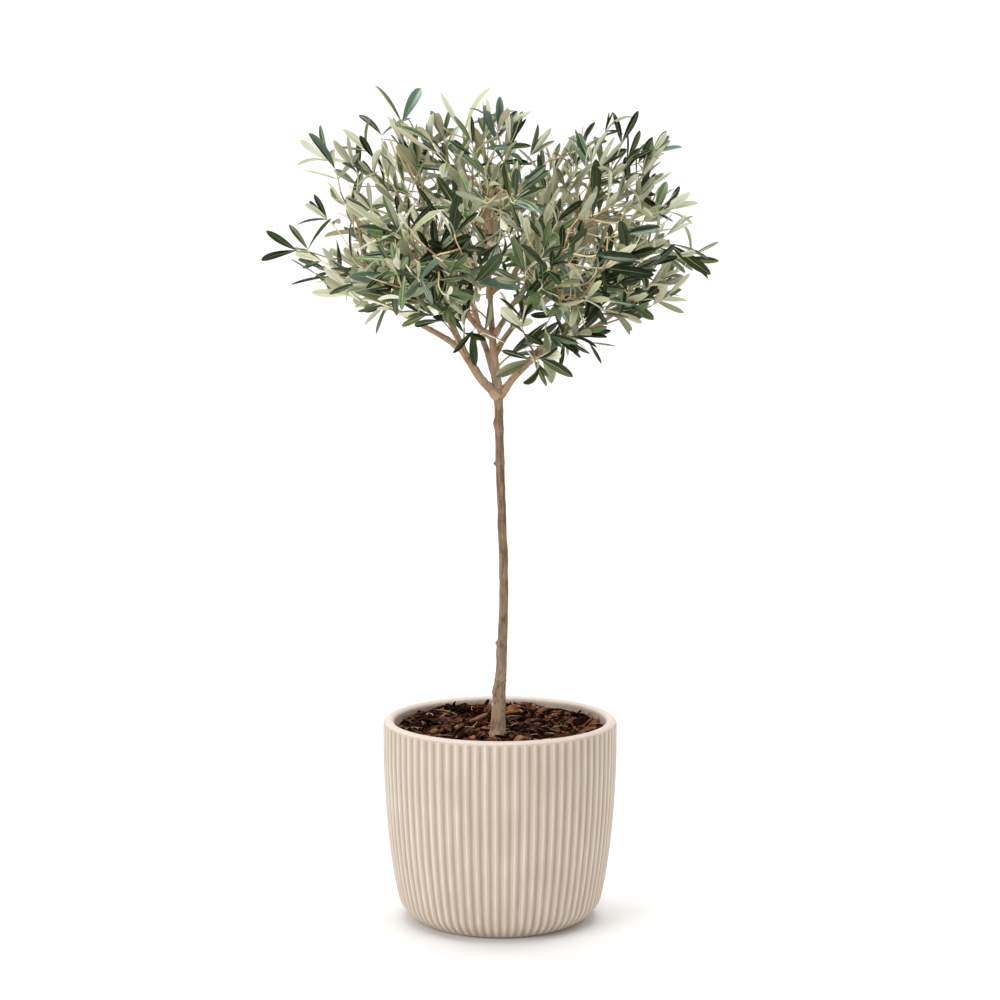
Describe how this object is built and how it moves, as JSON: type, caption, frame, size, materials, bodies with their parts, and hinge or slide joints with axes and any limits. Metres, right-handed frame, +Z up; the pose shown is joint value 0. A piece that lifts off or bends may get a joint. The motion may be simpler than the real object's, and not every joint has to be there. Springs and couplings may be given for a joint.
{
  "type": "potted olive tree",
  "caption": "Young standard olive tree on a bare stem, with a broad, loose crown of narrow silvery-green leaves, growing in bark compost in a ribbed cream stoneware pot.",
  "frame": {"origin": "centre of the pot's flat underside", "axes": "+Z up along the stem, -Y towards the front of the plant, +X to its right seen from the front"},
  "size_m": [0.465, 0.42, 0.85],
  "materials": {
    "stoneware": "matte",
    "compost": "matte",
    "bark": "matte",
    "foliage": "satin"
  },
  "bodies": {
    "root": {"pot": "stoneware", "compost": "compost", "trunk": "bark", "bough_back": "bark", "bough_leader": "bark", "bough_leader_left": "bark", "bough_leader_right": "bark", "bough_leader_upper": "bark", "bough_left": "bark", "bough_left_outer": "bark", "bough_left_upper": "bark", "bough_right": "bark", "bough_right_back": "bark", "bough_right_front": "bark", "bough_right_low": "bark", "foliage_back_left": "foliage", "foliage_back_right": "foliage", "foliage_back_top": "foliage", "foliage_core_left": "foliage", "foliage_core_right": "foliage", "foliage_front_left": "foliage", "foliage_front_right": "foliage", "foliage_front_top": "foliage", "foliage_left_high": "foliage", "foliage_left_low": "foliage", "foliage_low_spray": "foliage", "foliage_right_high": "foliage", "foliage_right_low": "foliage", "foliage_top": "foliage", "foliage_top_left": "foliage", "foliage_top_right": "foliage"}
  },
  "joints": []
}
